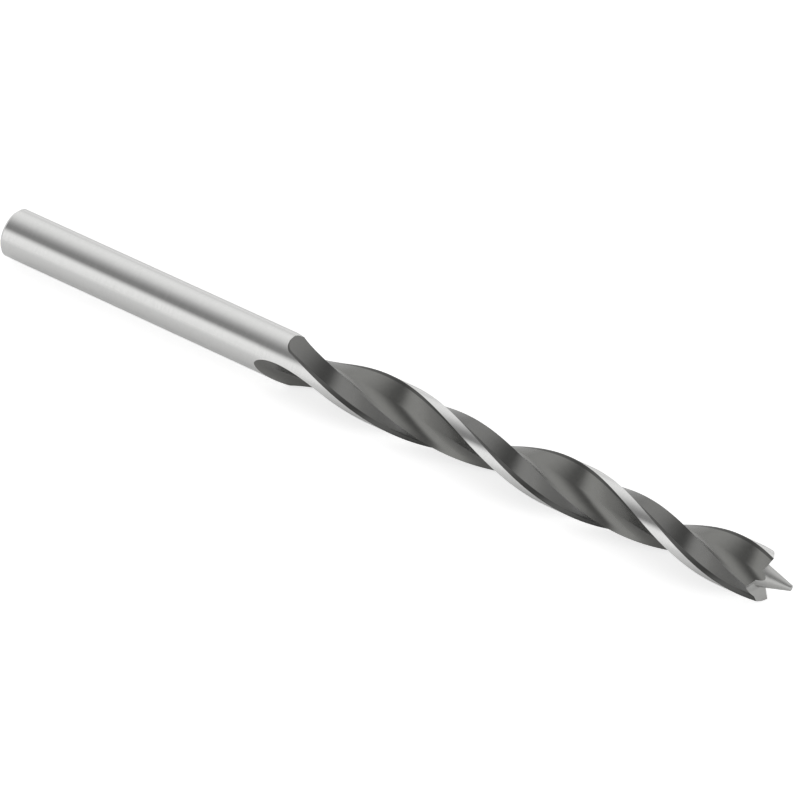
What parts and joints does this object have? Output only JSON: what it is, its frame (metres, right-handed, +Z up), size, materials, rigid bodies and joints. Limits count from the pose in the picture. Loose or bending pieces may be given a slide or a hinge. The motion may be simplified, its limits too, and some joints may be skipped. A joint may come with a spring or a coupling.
{
  "type": "brad point drill bit",
  "caption": "Straight shank twist drill bit for wood, with a ground centre point and cutting spurs.",
  "frame": {"origin": "middle of the bit's length on the surface it lies on, below its axis", "axes": "+X along the bit from its shank end to its centre point, +Z up"},
  "size_m": [0.086, 0.005, 0.005],
  "materials": {
    "ground_steel": "ground tool steel, bright on the shank and the margins, satin grey in the flutes"
  },
  "bodies": {
    "root": {"drill_bit": "ground_steel"}
  },
  "joints": []
}
